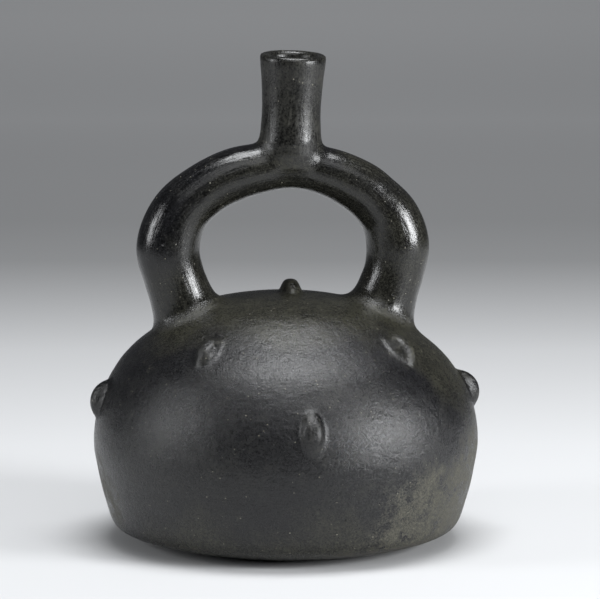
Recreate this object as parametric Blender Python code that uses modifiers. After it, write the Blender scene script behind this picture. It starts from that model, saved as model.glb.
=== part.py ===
"""Blackware stirrup spout vessel.

One piece of fired clay: a squat hollow body, nine pinched nubs on it, a hollow stirrup that rises from
two places on its crown, and one spout on top of the stirrup. Metres, +Z up. The origin is the middle of
the underside, and the stirrup stands in the XZ plane.
"""

import math

import bmesh
import bpy
import numpy as np
from mathutils import Matrix, Vector

# ---- Driving dimensions, in metres -------------------------------------------------------------

TOTAL_HEIGHT = 0.225

# Body, turned about Z. Each station is (radius, height).
FOOT_RADIUS = 0.045
BELLY_RADIUS = 0.0885
BELLY_Z = 0.048
CROWN_Z = 0.1144
BODY_STATIONS = (
    (0.0, CROWN_Z),
    (0.021, 0.1133),
    (0.0408, 0.1088),
    (0.0576, 0.099),
    (0.0744, 0.085),
    (0.0853, 0.066),
    (BELLY_RADIUS, BELLY_Z),
    (0.0864, 0.032),
    (0.0832, 0.020),
    (0.0782, 0.0079),
    (0.0671, 0.003),
    (0.056, 0.001),
    (FOOT_RADIUS, 0.0),
)
BODY_WALL = 0.005

# Stirrup, a tube whose centre line is half an ellipse that carries on down into two legs.
STIRRUP_SHIFT = -0.0013
STIRRUP_HALF_SPAN = 0.05325
STIRRUP_SPRING_Z = 0.1365
STIRRUP_CROWN_Z = 0.1733
STIRRUP_CROWN_RADIUS = 0.0101
STIRRUP_SIDE_RADIUS = 0.0143
# Each leg station is (distance from the stirrup's middle, height, tube radius).
LEG_STATIONS = (
    (0.0503, 0.124, 0.0138),
    (0.0470, 0.1155, 0.0143),
    (0.0440, 0.1085, 0.0172),
    (0.0402, 0.1005, 0.0225),
)
RIGHT_LEG_STANDS_OUT = 0.0012
STIRRUP_WALL = 0.0045

# Spout, turned about its own axis. Each station is (radius, height above the vessel's base).
SPOUT_SHIFT = 0.0024
SPOUT_LEAN = math.radians(1.8)
LIP_RADIUS = 0.0149
SPOUT_WAIST_RADIUS = 0.0131
SPOUT_BORE_RADIUS = 0.0092
LIP_CREST_RADIUS = 0.0122
SPOUT_STATIONS = (
    (LIP_CREST_RADIUS - 0.0020, TOTAL_HEIGHT - 0.0006),
    (LIP_CREST_RADIUS, TOTAL_HEIGHT),
    (LIP_RADIUS - 0.0008, TOTAL_HEIGHT - 0.0008),
    (LIP_RADIUS, TOTAL_HEIGHT - 0.0028),
    (0.0142, 0.2155),
    (SPOUT_WAIST_RADIUS, 0.204),
    (SPOUT_WAIST_RADIUS, 0.194),
    (0.0136, 0.1865),
    (0.0134, 0.1815),
    (0.0114, 0.1760),
    (0.0085, 0.1715),
)

# Nubs: small pinched thorns, longer up and down the body than across it. The outline is half of a blunt
# cone, given as shares of the nub's half width and of its height, and it ends inside the body's wall.
NUB_HALF_LENGTH = 0.0096
NUB_HALF_WIDTH = 0.0059
NUB_HEIGHT = 0.0055
NUB_OUTLINE = ((0.0, 1.0), (0.28, 0.95), (0.50, 0.74), (0.74, 0.36), (1.0, 0.0), (1.04, -0.4))
LOWER_RING_Z = 0.068
UPPER_RING_Z = 0.0948
RING_COUNT = 4
UPPER_RING_TURN = math.radians(45)
TOP_NUB_PLACE = (0.0024, 0.005)
TOP_NUB_HEIGHT = 0.0064

# Facets
TURN_STEPS = 64
TUBE_SIDES = 20
BORE_SIDES = 12
NUB_SIDES = 16
LEAST_GAP = 1e-6


# ---- Collections -------------------------------------------------------------------------------

for old in list(bpy.data.objects):
    bpy.data.objects.remove(old)

vessel_collection = bpy.data.collections.new("stirrup_spout_vessel")
shaping_collection = bpy.data.collections.new("shaping")
for collection in (vessel_collection, shaping_collection):
    bpy.context.scene.collection.children.link(collection)


def add_object(name, mesh, collection):
    """Make an object of the mesh, with its faces shaded smooth."""
    obj = bpy.data.objects.new(name, mesh)
    collection.objects.link(obj)
    if collection is shaping_collection:
        obj.hide_render = True
        obj.display_type = "WIRE"
    return obj


# ---- Lines that the shapes follow --------------------------------------------------------------


def smooth_line(stations, steps):
    """A smooth curve through the stations, with the given number of steps between neighbours."""
    points = np.array(stations, float)
    before = 2 * points[0] - points[1]
    after = 2 * points[-1] - points[-2]
    points = np.vstack([before, points, after])
    parameter = np.linspace(0, 1, steps, endpoint=False)[:, None]
    curve = []
    for p0, p1, p2, p3 in zip(points, points[1:], points[2:], points[3:]):
        gap1, gap2, gap3 = (math.sqrt(np.linalg.norm(b - a)) for a, b in ((p0, p1), (p1, p2), (p2, p3)))
        leave = p2 - p1 + gap2 * ((p1 - p0) / gap1 - (p2 - p0) / (gap1 + gap2))
        arrive = p2 - p1 + gap2 * ((p3 - p2) / gap3 - (p3 - p1) / (gap2 + gap3))
        cubed, squared = parameter**3, parameter**2
        curve.append(
            (2 * cubed - 3 * squared + 1) * p1
            + (cubed - 2 * squared + parameter) * leave
            + (3 * squared - 2 * cubed) * p2
            + (cubed - squared) * arrive
        )
    return np.vstack([*curve, points[-2:-1]])


def inset(outline, distance):
    """The outline moved towards the inside of a turned shape that it runs down."""
    along = np.gradient(outline, axis=0)
    along /= np.linalg.norm(along, axis=1)[:, None]
    inward = np.column_stack([along[:, 1], -along[:, 0]])
    return outline + distance * inward


def stirrup_line(steps):
    """Points (x, z, tube radius) along the whole stirrup, from the left root to the right one."""
    arch_stations = []
    for degrees in (90, 65, 45, 25, 0):
        angle = math.radians(degrees)
        x = STIRRUP_HALF_SPAN * math.cos(angle)
        z = STIRRUP_SPRING_Z + (STIRRUP_CROWN_Z - STIRRUP_SPRING_Z) * math.sin(angle)
        radius = STIRRUP_SIDE_RADIUS + (STIRRUP_CROWN_RADIUS - STIRRUP_SIDE_RADIUS) * math.sin(angle) ** 2
        arch_stations.append((x, z, radius))
    left_leg = [(-x, z, radius) for x, z, radius in reversed(LEG_STATIONS)]
    left_arch = [(-x, z, radius) for x, z, radius in reversed(arch_stations[1:])]
    right_leg = [(x + RIGHT_LEG_STANDS_OUT, z, radius) for x, z, radius in LEG_STATIONS]
    line = smooth_line(left_leg + left_arch + arch_stations + right_leg, steps)
    line[:, 0] += STIRRUP_SHIFT
    return line


# ---- Solids ------------------------------------------------------------------------------------


def turned_mesh(name, outline, steps):
    """Turn an outline (radius, z), which runs from the top down, about Z into a closed mesh."""
    mesh = bpy.data.meshes.new(name + "_outline")
    corners = [(0.0, 0.0, outline[0][1])] if outline[0][0] > LEAST_GAP else []
    corners += [(radius, 0.0, z) for radius, z in outline]
    corners += [(0.0, 0.0, outline[-1][1])] if outline[-1][0] > LEAST_GAP else []
    mesh.from_pydata(corners, [(k, k + 1) for k in range(len(corners) - 1)], [])
    guide = add_object(name + "_guide", mesh, shaping_collection)
    screw = guide.modifiers.new("turn", "SCREW")
    screw.steps = steps
    screw.render_steps = steps
    screw.use_merge_vertices = True
    screw.merge_threshold = 0.00005
    turned = bpy.data.meshes.new_from_object(guide.evaluated_get(bpy.context.evaluated_depsgraph_get()))
    bpy.data.objects.remove(guide)
    return turned


def tube_mesh(name, line, sides):
    """A round tube with closed ends along points (x, z, radius) in the XZ plane."""
    curve = bpy.data.curves.new(name + "_line", "CURVE")
    curve.dimensions = "3D"
    curve.bevel_depth = 1.0
    curve.bevel_resolution = sides // 2 - 2
    curve.use_fill_caps = True
    spline = curve.splines.new("POLY")
    spline.points.add(len(line) - 1)
    for point, (x, z, radius) in zip(spline.points, line):
        point.co = (x, 0.0, z, 1.0)
        point.radius = radius
    guide = add_object(name + "_guide", curve, shaping_collection)
    tube = bpy.data.meshes.new_from_object(guide.evaluated_get(bpy.context.evaluated_depsgraph_get()))
    bpy.data.objects.remove(guide)
    weld(tube)
    return tube


def weld(mesh):
    """Join the points that lie on each other and turn every face outwards."""
    work = bmesh.new()
    work.from_mesh(mesh)
    bmesh.ops.remove_doubles(work, verts=work.verts, dist=0.00002)
    bmesh.ops.recalc_face_normals(work, faces=work.faces)
    work.to_mesh(mesh)
    work.free()


def body_outline(steps):
    return smooth_line(BODY_STATIONS, steps)


def body_surface(height):
    """Radius and outward direction (radial, z) of the body's outside at a height above its belly."""
    outline = body_outline(12)
    above_belly = outline[outline[:, 1] > BELLY_Z]
    nearest = np.argmin(abs(above_belly[:, 1] - height))
    along = np.gradient(above_belly, axis=0)[nearest]
    outward = Vector((-along[1], along[0])).normalized()
    return above_belly[nearest, 0], outward


def ring_nub_frames():
    """The place of each nub of the two rings: where it stands, which way it points, and down the body."""
    frames = []
    for ring_z, turn in ((LOWER_RING_Z, 0.0), (UPPER_RING_Z, UPPER_RING_TURN)):
        radius, outward = body_surface(ring_z)
        for k in range(RING_COUNT):
            spin = Matrix.Rotation(turn + k * math.tau / RING_COUNT, 3, "Z")
            out = spin @ Vector((outward[0], 0.0, outward[1]))
            down = spin @ Vector((outward[1], 0.0, -outward[0]))
            frames.append((spin @ Vector((radius, 0.0, ring_z)), out, down))
    return frames


def nubs_mesh():
    """All the nubs as blunt cones, each rooted in the body's wall."""
    size = Matrix.Diagonal((NUB_HALF_LENGTH, NUB_HALF_WIDTH, NUB_HEIGHT)).to_4x4()
    placings = []
    for place, out, down in ring_nub_frames():
        turn = Matrix((down, out.cross(down), out)).transposed().to_4x4()
        placings.append(Matrix.Translation(place) @ turn @ size)
    top_size = Matrix.Diagonal((NUB_HALF_WIDTH, NUB_HALF_WIDTH, TOP_NUB_HEIGHT)).to_4x4()
    placings.append(Matrix.Translation((*TOP_NUB_PLACE, CROWN_Z)) @ top_size)
    work = bmesh.new()
    for placing in placings:
        nub = turned_mesh("nub", NUB_OUTLINE, NUB_SIDES)
        nub.transform(placing)
        work.from_mesh(nub)
        bpy.data.meshes.remove(nub)
    mesh = bpy.data.meshes.new("nubs")
    work.to_mesh(mesh)
    work.free()
    return mesh


def spout_place():
    """The spout leans a little about the foot of its axis."""
    foot = Vector((SPOUT_SHIFT, 0.0, STIRRUP_CROWN_Z))
    return Matrix.Translation(foot) @ Matrix.Rotation(SPOUT_LEAN, 4, "Y") @ Matrix.Translation((0, 0, -foot.z))


# ---- Outer forms: they are joined to the body --------------------------------------------------


def stirrup_form():
    return add_object("stirrup_form", tube_mesh("stirrup", stirrup_line(3), TUBE_SIDES), shaping_collection)


def spout_form():
    form = add_object("spout_form", turned_mesh("spout", SPOUT_STATIONS, 32), shaping_collection)
    form.data.transform(spout_place())
    return form


def nubs_form():
    return add_object("nubs_form", nubs_mesh(), shaping_collection)


# ---- Hollows: they are cut out -----------------------------------------------------------------


def body_hollow():
    outline = inset(body_outline(2), BODY_WALL)
    outline[0, 0] = 0.0
    return add_object("body_hollow", turned_mesh("hollow", outline, 40), shaping_collection)


def stirrup_hollow():
    line = stirrup_line(2)
    line[:, 2] = np.minimum(line[:, 2], STIRRUP_SIDE_RADIUS) - STIRRUP_WALL
    return add_object("stirrup_hollow", tube_mesh("bore", line, BORE_SIDES), shaping_collection)


def spout_hollow():
    rim = TOTAL_HEIGHT + 0.002
    outline = (
        (LIP_CREST_RADIUS + 0.001, rim),
        (LIP_CREST_RADIUS - 0.0014, TOTAL_HEIGHT - 0.0010),
        (SPOUT_BORE_RADIUS + 0.0006, TOTAL_HEIGHT - 0.0035),
        (SPOUT_BORE_RADIUS, TOTAL_HEIGHT - 0.010),
        (SPOUT_BORE_RADIUS, 0.184),
        (STIRRUP_CROWN_RADIUS - STIRRUP_WALL - 0.0006, STIRRUP_CROWN_Z + 0.0007),
    )
    hollow = add_object("spout_hollow", turned_mesh("spout_bore", outline, 24), shaping_collection)
    hollow.data.transform(spout_place())
    return hollow


# ---- The vessel --------------------------------------------------------------------------------


def blackware():
    """Fired dark, burnished clay."""
    material = bpy.data.materials.new("blackware")
    material.use_nodes = True
    shader = material.node_tree.nodes["Principled BSDF"]
    shader.inputs["Base Color"].default_value = (0.030, 0.030, 0.028, 1.0)
    shader.inputs["Roughness"].default_value = 0.42
    shader.inputs["Metallic"].default_value = 0.0
    return material


def vessel():
    body = add_object("vessel", turned_mesh("vessel", body_outline(2), TURN_STEPS), vessel_collection)
    steps = (
        ("UNION", (stirrup_form(), spout_form(), nubs_form())),
        ("DIFFERENCE", (body_hollow(), stirrup_hollow(), spout_hollow())),
    )
    for operation, others in steps:
        for other in others:
            boolean = body.modifiers.new(other.name, "BOOLEAN")
            boolean.operation = operation
            boolean.object = other
            boolean.solver = "EXACT"
    body.data.materials.append(blackware())
    body.data.shade_smooth()
    body.data.set_sharp_from_angle(angle=math.radians(35))
    return body


vessel()
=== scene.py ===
"""Blackware stirrup spout vessel: its clay and its finish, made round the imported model.

The sections follow the vessel as a potter builds it: body, stirrup, spout, nubs, joining, hollow, firing.
Each form is a distance: how far a point of space lies outside that form's clay. The forms are joined as
distances, and the vessel's surface is where the joined distance is nought. Metres, +Z up.
"""

import math

import bpy
import numpy as np
from mathutils import Matrix, Vector


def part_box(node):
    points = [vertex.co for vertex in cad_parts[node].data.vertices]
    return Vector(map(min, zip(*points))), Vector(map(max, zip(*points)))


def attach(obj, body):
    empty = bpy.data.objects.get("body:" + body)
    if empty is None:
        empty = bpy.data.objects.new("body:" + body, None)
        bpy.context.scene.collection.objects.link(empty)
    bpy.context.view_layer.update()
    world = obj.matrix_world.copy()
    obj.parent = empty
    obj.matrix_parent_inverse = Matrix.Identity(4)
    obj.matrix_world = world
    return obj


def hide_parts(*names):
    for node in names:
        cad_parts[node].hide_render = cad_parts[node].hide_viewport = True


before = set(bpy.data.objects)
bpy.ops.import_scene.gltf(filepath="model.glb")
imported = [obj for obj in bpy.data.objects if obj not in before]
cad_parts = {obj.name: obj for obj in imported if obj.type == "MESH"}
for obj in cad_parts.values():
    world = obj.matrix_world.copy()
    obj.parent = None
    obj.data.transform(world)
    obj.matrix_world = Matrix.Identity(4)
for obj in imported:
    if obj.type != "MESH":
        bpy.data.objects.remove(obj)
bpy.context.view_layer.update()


# ---- Body --------------------------------------------------------------------------------------
# A squat hollow body of coiled clay, scraped and turned by hand on a flat foot, so it is round but a
# little out of true. Its outline is one line from the crown to the middle of the underside.

CROWN_Z = 0.1144
BELLY_RADIUS = 0.0885
BELLY_Z = 0.048
FOOT_RADIUS = 0.045
BODY_STATIONS = (
    (0.0, CROWN_Z),
    (0.021, 0.1133),
    (0.0408, 0.1088),
    (0.0576, 0.099),
    (0.0744, 0.085),
    (0.0853, 0.066),
    (BELLY_RADIUS, BELLY_Z),
    (0.0864, 0.032),
    (0.0835, 0.020),
    (0.0785, 0.0079),
    (0.0671, 0.003),
    (0.056, 0.001),
    (FOOT_RADIUS, 0.0),
    (0.02, 0.0),
    (0.0, 0.0),
)
# The turned body is out of true by this much along X: at the foot, and at the shoulder.
FOOT_SHIFT = 0.0022
FOOT_SHIFT_UP_TO = 0.009
SHOULDER_SHIFT = -0.0012
SHOULDER_SHIFT_FROM = 0.060
SHOULDER_SHIFT_AT = 0.100
LINE_STEPS = 24


def smooth_line(stations, steps):
    """A smooth curve through the stations, with the given number of steps between neighbours."""
    points = np.array(stations, float)
    points = np.vstack([2 * points[0] - points[1], points, 2 * points[-1] - points[-2]])
    parameter = np.linspace(0, 1, steps, endpoint=False)[:, None]
    curve = []
    for p0, p1, p2, p3 in zip(points, points[1:], points[2:], points[3:]):
        gap1, gap2, gap3 = (math.sqrt(np.linalg.norm(b - a)) for a, b in ((p0, p1), (p1, p2), (p2, p3)))
        leave = p2 - p1 + gap2 * ((p1 - p0) / gap1 - (p2 - p0) / (gap1 + gap2))
        arrive = p2 - p1 + gap2 * ((p3 - p2) / gap3 - (p3 - p1) / (gap2 + gap3))
        cubed, squared = parameter**3, parameter**2
        curve.append(
            (2 * cubed - 3 * squared + 1) * p1
            + (cubed - 2 * squared + parameter) * leave
            + (3 * squared - 2 * cubed) * p2
            + (cubed - squared) * arrive
        )
    return np.vstack([*curve, points[-2:-1]])


def guide(name, points, **facts):
    """A line of edges through the points, or loose places, that a form is measured from."""
    mesh = bpy.data.meshes.new(name)
    edges = [] if facts.pop("loose", False) else [(k, k + 1) for k in range(len(points) - 1)]
    mesh.from_pydata([tuple(map(float, p)) for p in points], edges, [])
    for fact, values in facts.items():
        values = np.array(values, float)
        kind, slot = ("FLOAT_VECTOR", "vector") if values.ndim == 2 else ("FLOAT", "value")
        mesh.attributes.new(fact, kind, "POINT").data.foreach_set(slot, values.ravel())
    obj = bpy.data.objects.new(name, mesh)
    bpy.context.scene.collection.objects.link(obj)
    return obj


class Step:
    """A value in a node tree. Sums written with steps become Math nodes of that tree."""

    def __init__(self, tree, socket):
        self.tree = tree
        self.socket = socket

    def math(self, operation, *others, vector=None):
        if vector is None:
            vector = self.socket.type == "VECTOR"
        kind = "ShaderNodeVectorMath" if vector else "ShaderNodeMath"
        answer = "Value" if operation in ("LENGTH", "DISTANCE", "DOT_PRODUCT") or not vector else "Vector"
        if operation == "SCALE":
            inputs = {0: self, "Scale": others[0]}
        else:
            inputs = dict(enumerate((self, *others)))
        return add(self.tree, kind, inputs, answer, operation=operation)

    def __add__(self, other):
        return self.math("ADD", other)

    def __sub__(self, other):
        return self.math("SUBTRACT", other)

    def __mul__(self, other):
        scale = self.socket.type == "VECTOR" and not isinstance(other, tuple) and not is_vector(other)
        return self.math("SCALE" if scale else "MULTIPLY", other)

    def __neg__(self):
        return self * -1.0

    def parts(self):
        """x, y and z of a vector step."""
        return add(self.tree, "ShaderNodeSeparateXYZ", {0: self}, ("X", "Y", "Z"))

    def ramp(self, start, end, low=0.0, high=1.0, ease="SMOOTHSTEP"):
        """low where this step is start, high where it is end, and a smooth change between them."""
        inputs = {"Value": self, "From Min": start, "From Max": end, "To Min": low, "To Max": high}
        return add(self.tree, "ShaderNodeMapRange", inputs, "Result", interpolation_type=ease)


def is_vector(thing):
    return isinstance(thing, Step) and thing.socket.type == "VECTOR"


def add(tree, kind, inputs=None, output=0, **settings):
    """Add one node, wire or set its inputs, and return its output as a step, or several as a tuple."""
    node = tree.nodes.new(kind)
    for name, setting in settings.items():
        setattr(node, name, setting)
    for key, source in (inputs or {}).items():
        if isinstance(source, Step):
            tree.links.new(source.socket, node.inputs[key])
        else:
            node.inputs[key].default_value = source
    if isinstance(output, tuple):
        return tuple(Step(tree, node.outputs[name]) for name in output)
    return Step(tree, node.outputs[output])


def vector_of(x, y, z):
    tree = next(part for part in (x, y, z) if isinstance(part, Step)).tree
    return add(tree, "ShaderNodeCombineXYZ", {0: x, 1: y, 2: z})


def guide_geometry(tree, guide_object):
    return add(tree, "GeometryNodeObjectInfo", {"Object": guide_object}, "Geometry")


def turned_distance(tree, radius, height, line, middle_z):
    """Distance outside a form turned from the outline: farther from its middle than the nearest wall is."""
    point = vector_of(radius, 0.0, height)
    wall, gap = add(
        tree,
        "GeometryNodeProximity",
        {0: guide_geometry(tree, line), "Sample Position": point},
        ("Position", "Distance"),
        target_element="EDGES",
    )
    middle = (0.0, 0.0, middle_z)
    beyond = point.math("DISTANCE", middle) - wall.math("DISTANCE", middle)
    return gap * beyond.math("SIGN")


def body_distance(tree, point):
    x, y, z = point.parts()
    foot = z.ramp(0.0, FOOT_SHIFT_UP_TO, FOOT_SHIFT, 0.0)
    shoulder = z.ramp(SHOULDER_SHIFT_FROM, SHOULDER_SHIFT_AT, 0.0, SHOULDER_SHIFT)
    across = vector_of(x - foot - shoulder, y, 0.0).math("LENGTH")
    return turned_distance(tree, across, z, body_line, BELLY_Z)


body_line = guide("body_line", [(r, 0, z) for r, z in smooth_line(BODY_STATIONS, LINE_STEPS)])


# ---- Stirrup -----------------------------------------------------------------------------------
# A hollow roll of clay, bent into an arch and luted to the shoulder by two legs. It is thinnest at its
# crown, where the spout stands, and it was burnished lengthwise, which left long faint facets.

STIRRUP_SHIFT = -0.0013
STIRRUP_SPRING_Z = 0.1365
STIRRUP_CROWN_Z = 0.1733
# Each arch station is (bearing about the arch's middle, distance from it, radius of the roll).
ARCH_STATIONS = (
    (180, 0.0530, 0.0145),
    (162, 0.0503, 0.0135),
    (144, 0.0447, 0.0123),
    (124, 0.0399, 0.0121),
    (105, 0.0371, 0.0114),
    (90, 0.0367, 0.0106),
    (75, 0.0373, 0.0104),
    (56, 0.0399, 0.0112),
    (36, 0.0445, 0.0122),
    (27, 0.0470, 0.0124),
    (14, 0.0511, 0.0135),
    (0, 0.0533, 0.0145),
)
# Each leg station is (distance from the stirrup's middle, height, radius of the roll).
LEG_STATIONS = (
    (0.0505, 0.124, 0.0139),
    (0.0477, 0.1155, 0.0142),
    (0.0449, 0.1075, 0.0152),
    (0.0412, 0.0985, 0.0165),
)
RIGHT_LEG_STANDS_OUT = 0.0012
ROLL_STEPS = 120


def stirrup_stations():
    """(x, z, radius) along the whole stirrup, from the left root to the right one."""
    arch = []
    for bearing, distance, radius in ARCH_STATIONS:
        turn = math.radians(bearing)
        arch.append((distance * math.cos(turn), STIRRUP_SPRING_Z + distance * math.sin(turn), radius))
    left = [(-x, z, radius) for x, z, radius in reversed(LEG_STATIONS)]
    right = [(x + RIGHT_LEG_STANDS_OUT, z, radius) for x, z, radius in LEG_STATIONS]
    return [*left, *arch, *right]


def read_nearest(tree, places, point, *facts):
    """The nearest place's own position, and then the facts kept on it."""
    nearest = add(tree, "GeometryNodeSampleNearest", {0: places, "Sample Position": point}, domain="POINT")
    found = []
    for fact, kind in (("position", "FLOAT_VECTOR"), *facts):
        if fact == "position":
            value = add(tree, "GeometryNodeInputPosition")
        else:
            value = add(tree, "GeometryNodeInputNamedAttribute", {"Name": fact}, data_type=kind)
        inputs = {0: places, "Value": value, "Index": nearest}
        found.append(add(tree, "GeometryNodeSampleIndex", inputs, data_type=kind, domain="POINT"))
    return found


def stirrup_distance(tree, point):
    """Distance outside the roll, and the point as (along, across, through) the roll."""
    places = guide_geometry(tree, stirrup_line)
    middle, radius, along, side = read_nearest(
        tree, places, point, ("radius", "FLOAT"), ("along", "FLOAT"), ("side", "FLOAT_VECTOR")
    )
    offset = point - middle
    across = offset.math("DOT_PRODUCT", side)
    through = point.parts()[1]
    return offset.math("LENGTH") - radius, vector_of(along, across, through)


roll = smooth_line(stirrup_stations(), ROLL_STEPS)
roll_middle = np.column_stack([roll[:, 0] + STIRRUP_SHIFT, np.zeros(len(roll)), roll[:, 1]])
roll_heading = np.gradient(roll_middle, axis=0)
roll_step = np.linalg.norm(roll_heading, axis=1)
roll_heading /= roll_step[:, None]
stirrup_line = guide(
    "stirrup_line",
    roll_middle,
    radius=roll[:, 2],
    along=np.cumsum(roll_step),
    side=np.cross(roll_heading, (0.0, 1.0, 0.0)),
)


# ---- Spout -------------------------------------------------------------------------------------
# A hollow spout, turned, waisted and flared to a rounded lip, set on the stirrup's crown. It leans a
# little to the right, and its lip is cut a little lower at the front.

SPOUT_SHIFT = 0.0018
SPOUT_LEAN = math.radians(1.8)
LIP_Z = 0.2245
LIP_DROP = math.radians(2.4)
LIP_RADIUS = 0.0152
LIP_ROUND = 0.0030
SPOUT_WAIST_RADIUS = 0.01345
# Each spout station is (radius, height above the floor) along its own axis, from above the lip down.
SPOUT_STATIONS = (
    (0.0, LIP_Z + 0.004),
    (LIP_RADIUS + 0.0002, LIP_Z + 0.004),
    (LIP_RADIUS, LIP_Z - 0.0006),
    (0.0149, 0.2195),
    (0.0143, 0.2145),
    (0.0138, 0.2080),
    (SPOUT_WAIST_RADIUS, 0.2010),
    (SPOUT_WAIST_RADIUS, 0.1960),
    (0.0138, 0.1895),
    (0.0142, 0.1850),
    (0.0138, 0.1790),
    (0.0120, 0.1735),
    (0.0, 0.1705),
)
SPOUT_MIDDLE_Z = 0.200
BORE_RADIUS = 0.0092
BORE_MOUTH_RADIUS = 0.0104
BORE_DEPTH = 0.026
BORE_MIDDLE_Z = 0.214
BORE_STATIONS = (
    (0.0, LIP_Z + 0.012),
    (BORE_MOUTH_RADIUS, LIP_Z + 0.012),
    (BORE_MOUTH_RADIUS, LIP_Z - 0.001),
    (BORE_RADIUS, LIP_Z - 0.010),
    (BORE_RADIUS, LIP_Z - BORE_DEPTH),
    (0.0, LIP_Z - BORE_DEPTH),
)

spout_foot = Vector((SPOUT_SHIFT, 0.0, STIRRUP_CROWN_Z))
spout_axis = Vector((math.sin(SPOUT_LEAN), 0.0, math.cos(SPOUT_LEAN)))
lip_facing = Matrix.Rotation(LIP_DROP, 3, "X") @ spout_axis
spout_line = guide("spout_line", [(r, 0, z) for r, z in SPOUT_STATIONS])
bore_line = guide("bore_line", [(r, 0, z) for r, z in BORE_STATIONS])


def spout_distances(tree, point):
    """Distance outside the spout's clay, distance outside its bore, and the point as strokes see it."""
    offset = point - tuple(spout_foot)
    along = offset.math("DOT_PRODUCT", tuple(spout_axis))
    height = along + spout_foot.z
    on_axis = add(tree, "ShaderNodeVectorMath", {0: tuple(spout_axis), "Scale": along}, operation="SCALE")
    beside = offset - on_axis
    across = beside.math("LENGTH")
    clay = turned_distance(tree, across, height, spout_line, SPOUT_MIDDLE_Z)
    lip_middle = spout_foot + spout_axis * (LIP_Z - spout_foot.z)
    above_lip = (point - tuple(lip_middle)).math("DOT_PRODUCT", tuple(lip_facing))
    clay = clay.math("SMOOTH_MAX", above_lip, LIP_ROUND)
    bore = turned_distance(tree, across, height, bore_line, BORE_MIDDLE_Z)
    x, y, _ = beside.parts()
    return clay, bore, vector_of(along, x, y)


# ---- Nubs --------------------------------------------------------------------------------------
# Nine pellets of clay pressed on the body and pinched into blunt thorns: four round the belly, four
# between them on the shoulder, and one on the crown. Each stands longer up and down than across.

NUB_HALF_LENGTH = 0.0094
NUB_HALF_WIDTH = 0.0055
NUB_HEIGHT = 0.0052
NUB_FLANK_LEANS = math.radians(24)
NUB_EDGE_ROUND = 0.0036
# How much narrower a nub is at its two ends than at its middle, as a share of its width.
NUB_TAPER = 0.62
LOWER_RING_Z = 0.068
UPPER_RING_Z = 0.0948
# Each nub is (bearing round the body from the front, height up the body, share of the full height).
RING_NUBS = (
    (0, LOWER_RING_Z - 0.0042, 0.79),
    (90, LOWER_RING_Z + 0.0006, 1.13),
    (180, LOWER_RING_Z, 1.0),
    (270, LOWER_RING_Z, 1.05),
    (45.5, UPPER_RING_Z - 0.0008, 1.06),
    (136, UPPER_RING_Z, 1.0),
    (225, UPPER_RING_Z, 1.0),
    (319, UPPER_RING_Z, 0.96),
)
TOP_NUB_PLACE = (0.0029, 0.005)
TOP_NUB_HEIGHT = 1.16


def nub_places():
    """Each nub's place on the body, the way it points, the way down the body, and its height's share."""
    outline = smooth_line(BODY_STATIONS, LINE_STEPS)
    upper = outline[outline[:, 1] > BELLY_Z]
    along = np.gradient(upper, axis=0)
    along /= np.linalg.norm(along, axis=1)[:, None]
    places = []
    for bearing, height, share in RING_NUBS:
        k = int(np.argmin(abs(upper[:, 1] - height)))
        turn = math.radians(bearing)
        level = np.array((math.sin(turn), -math.cos(turn), 0.0))
        rise = np.array((0.0, 0.0, 1.0))
        out = -along[k, 1] * level + along[k, 0] * rise
        down = along[k, 0] * level + along[k, 1] * rise
        places.append((upper[k, 0] * level + upper[k, 1] * rise, out, down, share))
    crown = np.array((*TOP_NUB_PLACE, CROWN_Z))
    places.append((crown, np.array((0.0, 0.0, 1.0)), np.array((0.0, -1.0, 0.0)), TOP_NUB_HEIGHT))
    return places


nubs = nub_places()
nub_guide = guide(
    "nub_places",
    [place for place, _, _, _ in nubs],
    loose=True,
    out=[out for _, out, _, _ in nubs],
    down=[down for _, _, down, _ in nubs],
    share=[share for _, _, _, share in nubs],
)


def nub_distance(tree, point):
    """A nub is a slice of a disc that stands on edge, pinched between two leaning flanks."""
    places = guide_geometry(tree, nub_guide)
    place, out, down, share = read_nearest(
        tree, places, point, ("out", "FLOAT_VECTOR"), ("down", "FLOAT_VECTOR"), ("share", "FLOAT")
    )
    offset = point - place
    up = offset.math("DOT_PRODUCT", out)
    along = offset.math("DOT_PRODUCT", down)
    across = offset.math("DOT_PRODUCT", out.math("CROSS_PRODUCT", down))
    height = share * NUB_HEIGHT
    disc_radius = (height * height + NUB_HALF_LENGTH**2).math("DIVIDE", height * 2.0)
    centre = height - disc_radius
    disc = vector_of(along, 0.0, up - centre).math("LENGTH") - disc_radius
    lean_cos, lean_sin = math.cos(NUB_FLANK_LEANS), math.sin(NUB_FLANK_LEANS)
    end_share = along * (1 / NUB_HALF_LENGTH)
    half_width = (end_share * end_share).math("MULTIPLY_ADD", -NUB_TAPER * NUB_HALF_WIDTH, NUB_HALF_WIDTH)
    flank = (across.math("ABSOLUTE") - half_width) * lean_cos + up * lean_sin
    return disc.math("SMOOTH_MAX", flank, NUB_EDGE_ROUND)


# ---- Joining -----------------------------------------------------------------------------------
# The forms are luted together and the joints smoothed with a wet finger, so each meets the next in a
# small hollow curve. Scraping and burnishing leave the wall a little uneven.

LEG_FILLET = 0.0105
SPOUT_FILLET = 0.0065
NUB_FILLET = 0.0026
WAVER = 0.00035
WAVER_SIZE = 0.045
FACET = 0.00010
FACET_WIDTH = 0.0055
STROKE_STRETCH = 7.0
WALL = 0.0046
VOXEL = 0.00136
HOLLOW_VOXEL = 0.0029


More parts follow.
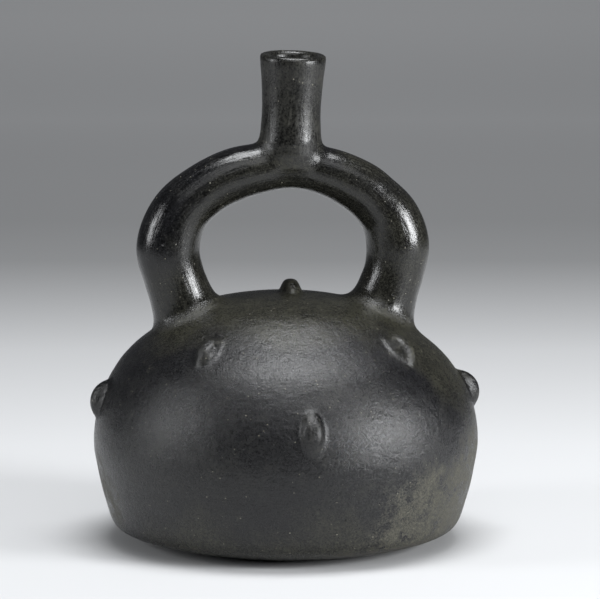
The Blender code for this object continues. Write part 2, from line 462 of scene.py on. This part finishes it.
def new_tree(name, inputs, outputs, kind="GeometryNodeTree"):
    """An empty tree with the named sockets, each given as name: (kind, default)."""
    tree = bpy.data.node_groups.new(name, kind)
    for direction, sockets in (("INPUT", inputs), ("OUTPUT", outputs)):
        for socket_name, (socket_kind, default) in sockets.items():
            socket_type = "NodeSocket" + socket_kind
            socket = tree.interface.new_socket(socket_name, in_out=direction, socket_type=socket_type)
            if default is not None:
                socket.default_value = default
    entry = tree.nodes.new("NodeGroupInput")
    steps = {name: Step(tree, entry.outputs[name]) for name in inputs}
    return tree, steps


def finish_tree(tree, answers):
    leave = tree.nodes.new("NodeGroupOutput")
    for name, answer in answers.items():
        tree.links.new(answer.socket, leave.inputs[name])


sizes = {
    "Leg Fillet": ("Float", LEG_FILLET),
    "Spout Fillet": ("Float", SPOUT_FILLET),
    "Nub Fillet": ("Float", NUB_FILLET),
    "Waver": ("Float", WAVER),
    "Facet": ("Float", FACET),
}
clay_tree, given = new_tree(
    "clay_distance",
    {"Position": ("Vector", None), **sizes},
    {
        "Outside": ("Float", None),
        "Form": ("Float", None),
        "Stroke": ("Vector", None),
        "Tube": ("Float", None),
        "Nub": ("Float", None),
        "Joint": ("Float", None),
    },
)
spot = given["Position"]
body = body_distance(clay_tree, spot)
stirrup, stirrup_stroke = stirrup_distance(clay_tree, spot)
spout, bore, spout_stroke = spout_distances(clay_tree, spot)
nub = nub_distance(clay_tree, spot)
form = body.math("SMOOTH_MIN", stirrup, given["Leg Fillet"]).math("SMOOTH_MIN", spout, given["Spout Fillet"])

joint = (body.math("MINIMUM", stirrup) - form).ramp(0.0, LEG_FILLET / 6)
tube = (body - stirrup.math("MINIMUM", spout)).ramp(-0.004, 0.004)
upright = (stirrup - spout).ramp(-0.003, 0.003)


def mixed(share, low, high):
    return add(
        share.tree,
        "ShaderNodeMix",
        {"Factor": share, 4: low, 5: high},
        1,
        data_type="VECTOR",
    )


body_stroke = spot * (1 / STROKE_STRETCH, 1 / STROKE_STRETCH, 1.0)
long_strokes = mixed(upright, stirrup_stroke, spout_stroke) * (1 / STROKE_STRETCH, 1.0, 1.0)
stroke = mixed(tube, body_stroke, long_strokes)


def noise(tree, point, size, detail=2.0, roughness=0.5, **settings):
    """Soft noise from -1 to 1 whose lumps are about that size across."""
    inputs = {"Vector": point, "Scale": 1 / size, "Detail": detail, "Roughness": roughness}
    value = add(tree, "ShaderNodeTexNoise", inputs, 0, **settings)
    return value * 2.0 - 1.0


uneven = noise(clay_tree, spot, WAVER_SIZE, 1.0) * given["Waver"]
facets = noise(clay_tree, stroke, FACET_WIDTH, 1.0) * given["Facet"]
form = form + uneven + facets
outside = form.math("SMOOTH_MIN", nub, given["Nub Fillet"])
outside = outside.math("MAXIMUM", -spot.parts()[2])
outside = outside.math("SMOOTH_MAX", -bore, LIP_ROUND)
facts = {"Stroke": stroke, "Tube": tube, "Nub": nub, "Joint": joint}
finish_tree(clay_tree, {"Outside": outside, "Form": form, **facts})


# ---- Raising the wall --------------------------------------------------------------------------
# The coils are raised to one even wall, and the hollow runs on from the body through both legs into the
# spout. The outside is drawn as a closed skin, and the hollow's own skin is cut out of it.

vessel_tree, given = new_tree(
    "vessel",
    {
        "Geometry": ("Geometry", None),
        "Low Corner": ("Vector", None),
        "High Corner": ("Vector", None),
        "Voxel": ("Float", VOXEL),
        "Hollow Voxel": ("Float", HOLLOW_VOXEL),
        "Wall": ("Float", WALL),
        "Material": ("Material", None),
        **sizes,
    },
    {"Geometry": ("Geometry", None)},
)


def clay(answer):
    """The clay's distance, or another answer of its tree, at each place of what is being made."""
    inputs = {"Position": add(vessel_tree, "GeometryNodeInputPosition")}
    inputs.update({size: given[size] for size in sizes})
    node = vessel_tree.nodes.new("GeometryNodeGroup")
    node.node_tree = clay_tree
    for key, source in inputs.items():
        vessel_tree.links.new(source.socket, node.inputs[key])
    return Step(vessel_tree, node.outputs[answer])


def skin(density, voxel):
    """The surface where density is nought, in faces about a voxel wide."""
    size = given["High Corner"] - given["Low Corner"]
    counts = size.math("DIVIDE", vector_of(voxel, voxel, voxel)).parts()
    volume = add(
        vessel_tree,
        "GeometryNodeVolumeCube",
        {
            "Density": density,
            "Background": -1.0,
            "Min": given["Low Corner"],
            "Max": given["High Corner"],
            "Resolution X": counts[0],
            "Resolution Y": counts[1],
            "Resolution Z": counts[2],
        },
    )
    inputs = {"Volume": volume, "Threshold": 0.0}
    return add(vessel_tree, "GeometryNodeVolumeToMesh", inputs, resolution_mode="GRID")


def settled(mesh, distance, times):
    """Draw every point of the mesh along its normal to where the distance is nought."""
    for _ in range(times):
        offset = add(vessel_tree, "GeometryNodeInputNormal") * -distance()
        mesh = add(vessel_tree, "GeometryNodeSetPosition", {"Geometry": mesh, "Offset": offset})
    return mesh


outer = skin(-clay("Outside"), given["Voxel"])
evened = add(
    vessel_tree,
    "GeometryNodeBlurAttribute",
    {"Value": add(vessel_tree, "GeometryNodeInputPosition"), "Iterations": 2},
    data_type="FLOAT_VECTOR",
)
outer = add(vessel_tree, "GeometryNodeSetPosition", {"Geometry": outer, "Position": evened})
outer = settled(outer, lambda: clay("Outside"), 3)

inner = skin(-(clay("Form") + given["Wall"]), given["Hollow Voxel"])
inner = settled(inner, lambda: clay("Form") + given["Wall"], 2)

vessel_mesh = add(
    vessel_tree,
    "GeometryNodeMeshBoolean",
    {"Mesh 1": outer, "Mesh 2": inner},
    "Mesh",
    operation="DIFFERENCE",
    solver="MANIFOLD",
)
for fact, kind in (("Stroke", "FLOAT_VECTOR"), ("Tube", "FLOAT"), ("Nub", "FLOAT"), ("Joint", "FLOAT")):
    inputs = {"Geometry": vessel_mesh, "Name": fact.lower(), "Value": clay(fact)}
    vessel_mesh = add(vessel_tree, "GeometryNodeStoreNamedAttribute", inputs, data_type=kind, domain="POINT")
vessel_mesh = add(vessel_tree, "GeometryNodeSetShadeSmooth", {"Geometry": vessel_mesh})
vessel_mesh = add(vessel_tree, "GeometryNodeRealizeInstances", {"Geometry": vessel_mesh})
inputs = {"Geometry": vessel_mesh, "Material": given["Material"]}
vessel_mesh = add(vessel_tree, "GeometryNodeSetMaterial", inputs)
finish_tree(vessel_tree, {"Geometry": vessel_mesh})


def bake(name, tree, values):
    """A plain mesh object of what the tree makes with those values."""
    host = bpy.data.objects.new(name + "_host", bpy.data.meshes.new(name + "_host"))
    bpy.context.scene.collection.objects.link(host)
    modifier = host.modifiers.new(name, "NODES")
    modifier.node_group = tree
    for item in tree.interface.items_tree:
        if item.in_out == "INPUT" and item.name in values:
            modifier[item.identifier] = values[item.name]
    evaluated = host.evaluated_get(bpy.context.evaluated_depsgraph_get())
    made = bpy.data.objects.new(name, bpy.data.meshes.new_from_object(evaluated))
    bpy.context.scene.collection.objects.link(made)
    bpy.data.objects.remove(host)
    return made


# ---- Firing ------------------------------------------------------------------------------------
# Fired in a smothered fire, so the clay took up carbon and came out charcoal black. It was burnished with
# a pebble: the stirrup and spout are smooth, the body keeps the clay's grain, and ash left olive clouds.

CHARCOAL = (0.0048, 0.0048, 0.0054, 1.0)
SMOKED_OLIVE = (0.019, 0.0185, 0.0125, 1.0)
ASH_OLIVE = (0.044, 0.042, 0.031, 1.0)
GRIT_TAN = (0.190, 0.180, 0.140, 1.0)
PIT_BLACK = (0.004, 0.004, 0.004, 1.0)
BODY_ROUGHNESS = 0.28
TUBE_ROUGHNESS = 0.21
ASH_ROUGHNESS = 0.56
# How wide each mark is, and how high or deep it stands where it is felt.
GRAIN = 0.0010
GRAIN_HEIGHT = 0.00013
FINE_GRAIN = 0.00045
LUMP = 0.0034
LUMP_HEIGHT = 0.00014
CHIP = 0.0045
CHIP_HEIGHT = 0.0005
STROKE_WIDTH = 0.0013
STROKE_HEIGHT = 0.00007
MOTTLE = 0.009
DRIFT = 0.06
# Round marks: (spacing, largest radius, width of the patches that they gather in).
PITS = (0.0058, 0.00062, 0.010)
PIT_DEPTH = 0.0004
GRIT = (0.0028, 0.00042, 0.0045)
GRIT_HEIGHT = 0.00005
# What each part of the finish is made of, as shares of the marks.
WORN_SHARES = {"dull": 0.45, "mottle": 0.9, "grain": 0.9}
OLIVE_SHARES = {"mottle": 0.5, "drift": 0.3, "grain": 0.5}
ASH_SHARES = {"mottle": 2.2, "grain": 1.4}
SHADE_SHARES = {"grain": 2.2, "mottle": 0.7, "fine grain": 2.4, "tube strokes": 1.2, "nub chips": 1.6}
ROUGH_SHARES = {"dull": 0.08, "mottle": 0.10, "grain": 0.22, "tube strokes": 0.18, "worn": 0.10}
MIDDLE_SHADE = 1.05
DARKEST_SHADE = 0.15
# How strongly a mark shows on the body, and on the smoother stirrup and spout.
OLIVE_ON = (0.85, 0.45)
WORN_ON = (0.22, 0.10)
GRAIN_ON = (1.0, 0.25)
# Clouds left by the fire: (middle, reach), where the wall is ashy, and where it is smoked olive.
ASH_CLOUDS = (
    ((0.100, -0.030, 0.000), 0.057),
    ((0.066, -0.066, -0.012), 0.052),
    ((0.030, -0.080, -0.022), 0.036),
    ((0.096, 0.030, 0.020), 0.044),
    ((-0.094, -0.010, 0.022), 0.020),
)
OLIVE_CLOUDS = (
    ((0.068, -0.026, 0.096), 0.034),
    ((0.058, -0.008, 0.130), 0.030),
    ((0.000, -0.004, 0.122), 0.056),
    ((-0.050, -0.020, 0.108), 0.022),
    ((0.036, -0.004, 0.178), 0.014),
    ((0.000, -0.085, -0.020), 0.040),
    ((-0.055, -0.065, -0.016), 0.036),
)
CLOUD_SOFTNESS = 0.022
CLOUD_RAGGED = 0.020
RAGGED_EDGE = 0.03
OLIVE_EDGE_SHIFT = (0.2, 0.2, 0.2)


def new_material(name):
    material = bpy.data.materials.new(name)
    material.use_nodes = True
    return material, material.node_tree, material.node_tree.nodes["Principled BSDF"]


def blend(share, low, high):
    """A colour between low and high."""
    return add(share.tree, "ShaderNodeMix", {"Factor": share, 6: low, 7: high}, 2, data_type="RGBA")


def kept(tree, fact, output="Fac"):
    """A fact that the clay's tree kept on the mesh."""
    return add(tree, "ShaderNodeAttribute", None, output, attribute_name=fact)


def clouds(tree, point, places, edge_shift=(0.0, 0.0, 0.0)):
    """1 inside any of the places and 0 away from them, with a ragged soft edge."""
    ragged = noise(tree, point + edge_shift, RAGGED_EDGE, 4.0, 0.6) * CLOUD_RAGGED
    inside = None
    for middle, reach in places:
        gap = point.math("DISTANCE", middle) + ragged
        share = gap.ramp(reach + CLOUD_SOFTNESS / 2, reach - CLOUD_SOFTNESS / 2)
        inside = share if inside is None else inside.math("MAXIMUM", share)
    return inside


blackware, clay_look, clay_shader = new_material("blackware")
spot = add(clay_look, "ShaderNodeTexCoord", None, "Object")
stroke = kept(clay_look, "stroke", "Vector")
tube = kept(clay_look, "tube")
joint = kept(clay_look, "joint")
nub_near = kept(clay_look, "nub").ramp(0.0008, -0.0004)
dull = joint.math("MAXIMUM", nub_near * 0.7)

grain = noise(clay_look, spot, GRAIN, 4.0, 0.7)
lumps = noise(clay_look, spot, LUMP, 2.0)
chips = noise(clay_look, spot, CHIP, 2.0, 0.6) * nub_near
strokes = noise(clay_look, stroke, STROKE_WIDTH, 3.0, 0.65)
marks = {
    "dull": dull,
    "grain": grain,
    "fine grain": noise(clay_look, spot, FINE_GRAIN, 2.0, 0.7),
    "mottle": noise(clay_look, spot, MOTTLE, 5.0, 0.68),
    "drift": noise(clay_look, spot, DRIFT, 2.0),
    "tube strokes": strokes * tube,
    "nub chips": chips,
}


def marked(start, shares):
    """The start, with each named mark's share added to it."""
    for name, share in shares.items():
        start = marks[name] * share + start
    return start


def dots(spacing, radius, patch_width):
    """1 in small round dots, each of its own size, which gather in patches."""
    gap = add(clay_look, "ShaderNodeTexVoronoi", {"Vector": spot, "Scale": 1 / spacing}, "Distance")
    patches = noise(clay_look, spot, patch_width, 1.0)
    size = patches.ramp(-0.3, 0.35, 0.0, radius / spacing)
    return (gap - size).ramp(0.0, -0.35 * radius / spacing)


pit = dots(*PITS)
grit = dots(*GRIT)
worn = marked(0.0, WORN_SHARES).ramp(0.25, 1.0)
marks["worn"] = worn

olive = marked(clouds(clay_look, spot, OLIVE_CLOUDS, OLIVE_EDGE_SHIFT), OLIVE_SHARES)
olive = olive * tube.ramp(0.0, 1.0, *OLIVE_ON) + dull * 0.3
colour = blend(olive.ramp(0.0, 1.0, ease="LINEAR"), CHARCOAL, SMOKED_OLIVE)
ash = (marked(1.0, ASH_SHARES) * clouds(clay_look, spot, ASH_CLOUDS)).ramp(0.1, 1.2)
colour = blend(ash, colour, ASH_OLIVE)
colour = blend(worn * tube.ramp(0.0, 1.0, *WORN_ON), colour, ASH_OLIVE)
shade = marked(MIDDLE_SHADE, SHADE_SHARES).math("MAXIMUM", DARKEST_SHADE)
colour = add(clay_look, "ShaderNodeVectorMath", {0: colour, "Scale": shade}, operation="SCALE")
colour = blend(grit * 0.8, colour, GRIT_TAN)
colour = blend(pit, colour, PIT_BLACK)
clay_look.links.new(colour.socket, clay_shader.inputs["Base Color"])

roughness = marked(tube.ramp(0.0, 1.0, BODY_ROUGHNESS, TUBE_ROUGHNESS), ROUGH_SHARES)
roughness = roughness + ash * (ASH_ROUGHNESS - BODY_ROUGHNESS)
clay_look.links.new(roughness.socket, clay_shader.inputs["Roughness"])

relief = (grain * GRAIN_HEIGHT + lumps * LUMP_HEIGHT) * tube.ramp(0.0, 1.0, *GRAIN_ON)
relief = relief + chips * CHIP_HEIGHT + strokes * STROKE_HEIGHT - pit * PIT_DEPTH + grit * GRIT_HEIGHT
bump = add(clay_look, "ShaderNodeBump", {"Height": relief, "Distance": 1.0, "Strength": 1.0}, "Normal")
clay_look.links.new(bump.socket, clay_shader.inputs["Normal"])

low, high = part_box("vessel")
margin = Vector((4 * VOXEL,) * 3)
coarse = 1.0
fired_vessel = bake(
    "fired_vessel",
    vessel_tree,
    {
        "Low Corner": low - margin,
        "High Corner": high + margin,
        "Voxel": VOXEL * coarse,
        "Hollow Voxel": HOLLOW_VOXEL * coarse,
        "Material": blackware,
    },
)
for line in (body_line, stirrup_line, spout_line, bore_line, nub_guide):
    bpy.data.objects.remove(line)
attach(fired_vessel, "root")
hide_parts("vessel")


# ---- Floor -------------------------------------------------------------------------------------
# A wide flat sheet of matt paper that the vessel stands on. Its tint is painted light falloff: near white
# under the vessel, a painted soft grey farther back, and painted shade in front.

FLOOR_REACH = 6.0
PAPER_ROUGHNESS = 0.9
PAPER_SHEEN = 0.1
PAPER_TINT = (0.99, 0.995, 1.0)
# The way that the painted falloff runs, and the paper's painted lightness at each distance that way from the
# vessel.
PAPER_FALLOFF_RUNS = (math.sin(math.radians(8.0)), math.cos(math.radians(8.0)), 0.0)
PAPER_PAINTED_FALLOFF = (
    (-0.95, 0.03),
    (-0.45, 0.60),
    (-0.05, 0.60),
    (0.25, 0.655),
    (0.57, 0.62),
    (0.78, 0.50),
    (0.97, 0.39),
    (1.19, 0.405),
    (1.44, 0.48),
    (1.90, 0.59),
    (3.20, 0.49),
)

paper, paper_look, paper_shader = new_material("paper")
ground = add(paper_look, "ShaderNodeTexCoord", None, "Object")
reach = ground.math("DOT_PRODUCT", PAPER_FALLOFF_RUNS)
# Painted light: these tone steps paint the falloff of light across the paper, grey farther back and dark in
# front.
painted_falloff = reach * 0.0 + PAPER_PAINTED_FALLOFF[0][1]
for (near, near_falloff), (far, far_falloff) in zip(PAPER_PAINTED_FALLOFF, PAPER_PAINTED_FALLOFF[1:]):
    painted_falloff = painted_falloff + reach.ramp(near, far, 0.0, far_falloff - near_falloff, ease="LINEAR")
paper_colour = add(paper_look, "ShaderNodeVectorMath", {0: PAPER_TINT, "Scale": painted_falloff}, operation="SCALE")
paper_look.links.new(paper_colour.socket, paper_shader.inputs["Base Color"])
paper_shader.inputs["Roughness"].default_value = PAPER_ROUGHNESS
paper_shader.inputs["Specular IOR Level"].default_value = PAPER_SHEEN

floor_mesh = bpy.data.meshes.new("floor")
corners = [(x * FLOOR_REACH, y * FLOOR_REACH, 0.0) for x, y in ((-1, -1), (1, -1), (1, 1), (-1, 1))]
floor_mesh.from_pydata(corners, [], [(0, 1, 2, 3)])
floor_mesh.materials.append(paper)
floor = bpy.data.objects.new("floor", floor_mesh)
bpy.context.scene.collection.objects.link(floor)


# ---- Studio light ------------------------------------------------------------------------------
# A dim room with soft boxes: one overhead, one on the right, a weaker one on the left and a wide faint
# one in front. A fifth lights only the paper at the back, and doesn't glint on the vessel.

ROOM_COLOUR = (0.85, 0.88, 0.95, 1.0)
ROOM_STRENGTH = 0.08
LIGHT_COLOUR = (0.965, 0.98, 1.0)
# Each light is (place, aim, width, height, power).
LIGHTS = {
    "overhead_light": ((0.07, -0.12, 1.40), (0.07, -0.12, 0.0), 0.85, 0.46, 19),
    "right_light": ((1.03, -0.73, 0.41), (0.0, 0.0, 0.10), 0.42, 0.50, 19),
    "left_light": ((-1.32, -0.19, 0.53), (0.0, 0.0, 0.10), 0.36, 0.60, 7.2),
    "front_light": ((0.1, -1.30, 1.50), (0.0, 0.0, 0.05), 1.6, 0.9, 8),
    "backdrop_light": ((0.5, 3.4, 1.6), (0.5, 3.4, 0.0), 2.5, 1.6, 16),
}

world = bpy.data.worlds.new("studio")
world.use_nodes = True
world.node_tree.nodes["Background"].inputs["Color"].default_value = ROOM_COLOUR
world.node_tree.nodes["Background"].inputs["Strength"].default_value = ROOM_STRENGTH
bpy.context.scene.world = world
bpy.context.scene.view_settings.view_transform = "Standard"

for name, (place, aim, width, height, power) in LIGHTS.items():
    lamp = bpy.data.lights.new(name, "AREA")
    lamp.shape = "RECTANGLE"
    lamp.size, lamp.size_y = width, height
    lamp.energy = power
    lamp.color = LIGHT_COLOUR
    light = bpy.data.objects.new(name, lamp)
    light.location = place
    light.visible_glossy = name != "backdrop_light"
    if place[:2] != aim[:2]:
        light.rotation_euler = (Vector(place) - Vector(aim)).to_track_quat("Z", "Y").to_euler()
    bpy.context.scene.collection.objects.link(light)


# ---- Camera ------------------------------------------------------------------------------------
# A long lens on a stand two metres off, a little to the left of the vessel's front and a little above
# it, so that upright lines stay upright.

CAMERA_PLACE = (-0.2808, -2.0450, 0.4056)
CAMERA_DOWN = math.radians(8.11)
CAMERA_TURN = math.radians(-8.0)
LENS_MM = 272.2

lens = bpy.data.cameras.new("camera")
lens.lens = LENS_MM
lens.sensor_width = 36.0
lens.clip_start, lens.clip_end = 0.1, 30.0
camera = bpy.data.objects.new("camera", lens)
camera.location = CAMERA_PLACE
camera.rotation_euler = (math.pi / 2 - CAMERA_DOWN, 0.0, CAMERA_TURN)
bpy.context.scene.collection.objects.link(camera)
bpy.context.scene.camera = camera
